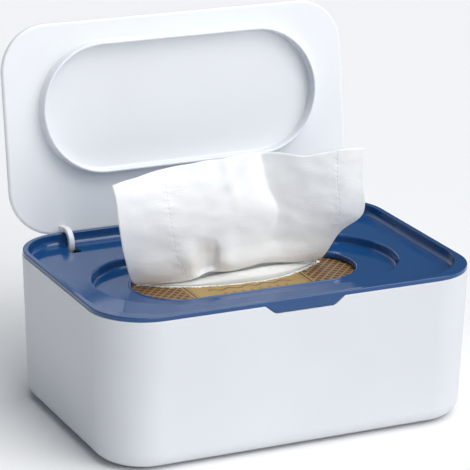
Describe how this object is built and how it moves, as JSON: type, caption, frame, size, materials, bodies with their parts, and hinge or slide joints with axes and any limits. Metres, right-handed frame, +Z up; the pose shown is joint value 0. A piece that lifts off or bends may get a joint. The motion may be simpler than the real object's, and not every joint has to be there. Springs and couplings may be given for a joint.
{
  "type": "countertop wipes dispenser",
  "caption": "Rounded white tub with a lift-off blue cover, a sunk dispensing opening and a gooseneck-hinged lid with a sealing ring, holding a pack of folded wipes.",
  "frame": {"origin": "on the table, under the middle of the tub, in the plane of the four pads", "axes": "+X along the tub's long side to the right, +Y to the rear where the lid is hinged, +Z up"},
  "size_m": [0.19, 0.1518, 0.1741],
  "materials": {
    "white_shell": "satin moulded white plastic",
    "blue_cover": "glossy moulded blue plastic",
    "seal_silicone": "pale translucent silicone",
    "pad_rubber": "matt grey silicone",
    "pin_steel": "drawn steel wire",
    "pack_film": "printed laminate film",
    "wipe_cloth": "soft embossed nonwoven"
  },
  "bodies": {
    "base": {"body": "white_shell", "foot_front_left": "pad_rubber", "foot_front_right": "pad_rubber", "foot_rear_left": "pad_rubber", "foot_rear_right": "pad_rubber", "wipes_pack": "pack_film", "wipes_stack": "wipe_cloth", "next_wipe": "wipe_cloth"},
    "cover": {"top_cover": "blue_cover", "hinge_pin_left": "pin_steel", "hinge_pin_right": "pin_steel"},
    "lid": {"lid": "white_shell", "lid_seal": "seal_silicone", "hinge_arm_left": "white_shell", "hinge_arm_right": "white_shell"},
    "wipe": {"dispensed_wipe": "wipe_cloth"}
  },
  "joints": [
    {"name": "cover_lift", "type": "slide", "parent": "base", "child": "cover", "axis": [0, 0, 1], "range_m": [0, 0.06]},
    {"name": "lid_hinge", "type": "hinge", "parent": "cover", "child": "lid", "pos_m": [0, 0.06128, 0.0655], "axis": [-1, 0, 0], "range_deg": [-98.4, 0], "deforming": ["dispensed_wipe"]},
    {"name": "wipe_pull", "type": "slide", "parent": "cover", "child": "wipe", "axis": [0, 0, 1], "range_m": [0, 0.12]}
  ]
}
